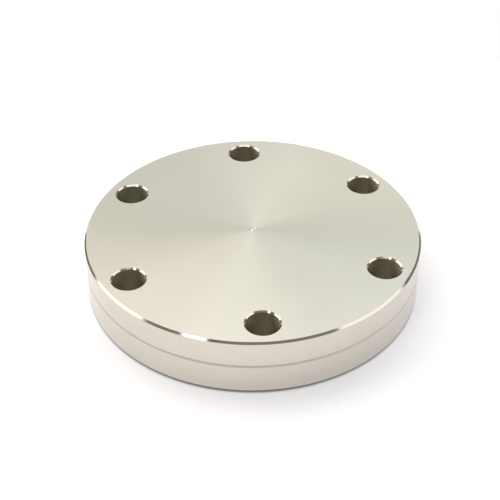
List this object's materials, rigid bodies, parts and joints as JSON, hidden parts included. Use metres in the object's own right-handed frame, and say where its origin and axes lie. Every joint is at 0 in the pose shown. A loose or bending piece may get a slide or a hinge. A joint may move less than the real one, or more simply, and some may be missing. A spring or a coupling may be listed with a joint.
{
  "type": "blind vacuum flange",
  "caption": "Round metal disc that closes a vacuum port, with bolt holes near its rim, a plain back, and a knife edge in a gasket recess on its front.",
  "frame": {"origin": "centre of the bolting face, on the disc's axis", "axes": "+Z along the disc's axis from the bolting face to the plain back; +X along a leak-check groove, with a bolt hole 30 degrees to each side of it"},
  "size_m": [0.0698, 0.0698, 0.0127],
  "materials": {
    "stainless_steel": "fine-turned satin stainless steel, grade 304"
  },
  "bodies": {
    "root": {"blind_flange": "stainless_steel"}
  },
  "joints": []
}
